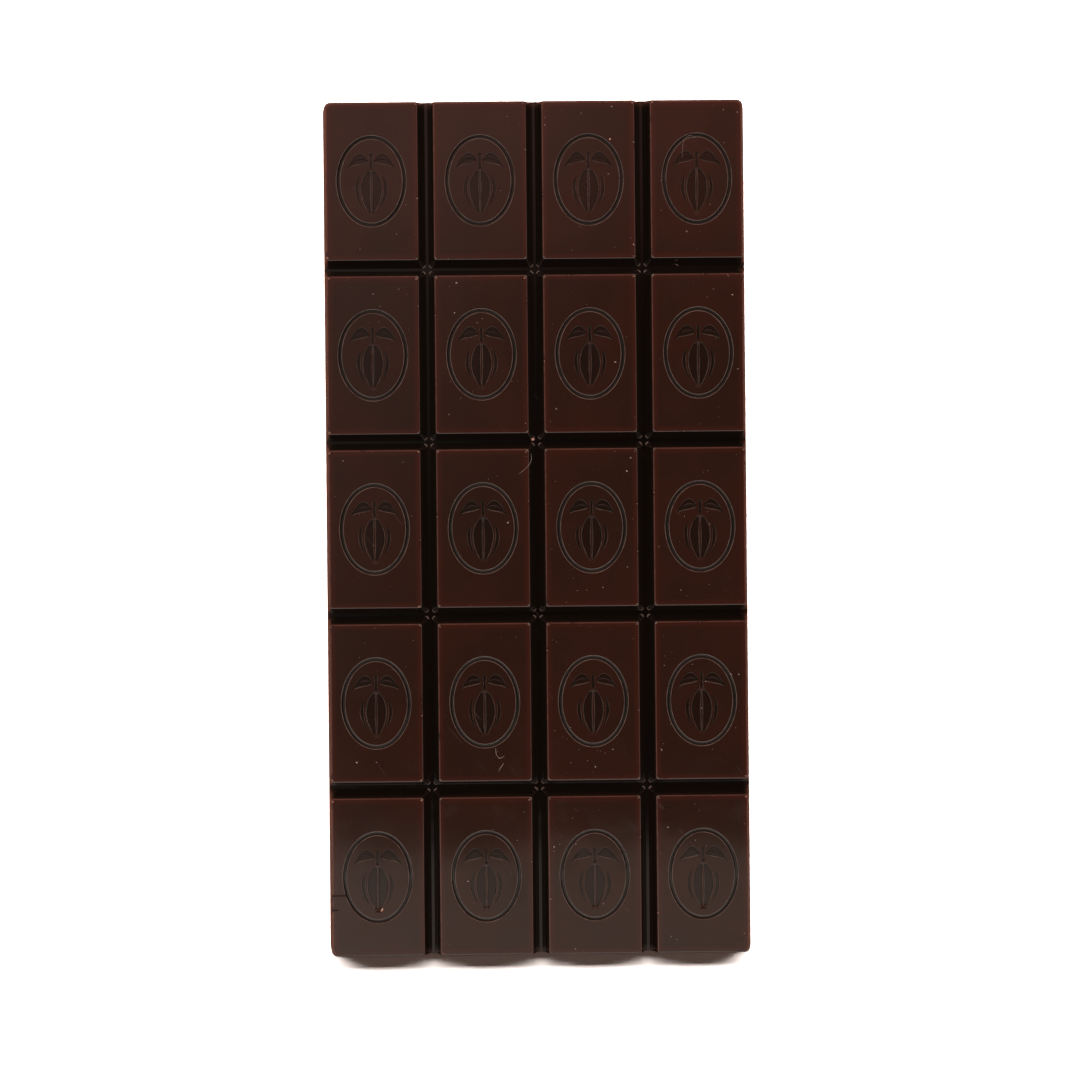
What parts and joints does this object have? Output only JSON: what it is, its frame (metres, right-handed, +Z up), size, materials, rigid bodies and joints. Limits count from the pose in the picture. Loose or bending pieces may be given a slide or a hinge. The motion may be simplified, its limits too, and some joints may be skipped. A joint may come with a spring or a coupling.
{
  "type": "chocolate bar",
  "caption": "Flat moulded bar of dark chocolate, scored by deep V grooves into equal oblong pieces that snap off, each with a pressed cocoa pod motif.",
  "frame": {"origin": "middle of the flat back that the bar lies on", "axes": "+Z up, out of the patterned side; +Y along the bar's length, towards the upper end of the motifs; +X across its width"},
  "size_m": [0.0596, 0.1202, 0.0066],
  "materials": {
    "dark_chocolate": "tempered dark chocolate released from a polished mould, satin gloss, with faint scuffs and specks of bloom"
  },
  "bodies": {
    "root": {"chocolate_bar": "dark_chocolate"}
  },
  "joints": []
}
